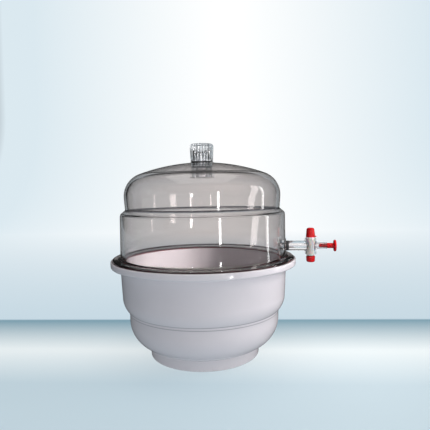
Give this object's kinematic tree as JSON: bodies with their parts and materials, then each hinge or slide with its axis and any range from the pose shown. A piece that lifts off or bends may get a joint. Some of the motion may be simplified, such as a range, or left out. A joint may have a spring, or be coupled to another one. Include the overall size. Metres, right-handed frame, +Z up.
{
  "type": "vacuum desiccator",
  "caption": "Clear domed vacuum desiccator lid with fluted knob and side stopcock on an opaque round bowl with seal ring, perforated plate and desiccant bed.",
  "frame": {"origin": "centre of the foot's underside, on the bowl's axis", "axes": "+Z up along the bowl's axis; +X towards the stopcock's outlet; +Y completes the right-handed frame"},
  "size_m": [0.2872, 0.2374, 0.2708],
  "materials": {
    "white_polypropylene": "glossy moulded, faint lavender white",
    "plate_polypropylene": "satin white",
    "clear_polycarbonate": "clear, faintly smoky",
    "clear_knob_plastic": "clear, faintly smoky",
    "clear_stopcock_plastic": "clear",
    "maroon_silicone": "dark red silicone, satin",
    "black_rubber": "matt black",
    "white_ptfe": "waxy white",
    "red_plastic": "glossy moulded red",
    "silica_gel_beads": "orange indicating beads"
  },
  "bodies": {
    "base": {"base_bowl": "white_polypropylene", "seal_ring": "maroon_silicone", "silica_gel": "silica_gel_beads"},
    "plate": {"perforated_plate": "plate_polypropylene"},
    "lid": {"lid": "clear_polycarbonate", "knob": "clear_knob_plastic", "knob_washer": "black_rubber", "knob_nut": "clear_knob_plastic", "stopcock_body": "clear_stopcock_plastic", "wall_washer": "black_rubber", "inner_washer": "black_rubber", "lock_nut": "plate_polypropylene"},
    "key": {"stopcock_plug": "white_ptfe", "stopcock_key": "red_plastic", "key_washer": "white_ptfe", "key_oring": "black_rubber", "key_nut": "red_plastic"},
    "outlet_plug": {"outlet_plug": "red_plastic"}
  },
  "joints": [
    {"name": "lid_lift", "type": "slide", "parent": "base", "child": "lid", "axis": [0, 0, 1], "range_m": [0, 0.2]},
    {"name": "plate_lift", "type": "slide", "parent": "base", "child": "plate", "axis": [0, 0, 1], "range_m": [0, 0.09]},
    {"name": "key_turn", "type": "hinge", "parent": "lid", "child": "key", "pos_m": [0.1374, 0, 0.1385], "axis": [0, 0, 1], "continuous": true},
    {"name": "outlet_plug_pull", "type": "slide", "parent": "lid", "child": "outlet_plug", "axis": [1, 0, 0], "range_m": [0, 0.06]}
  ]
}
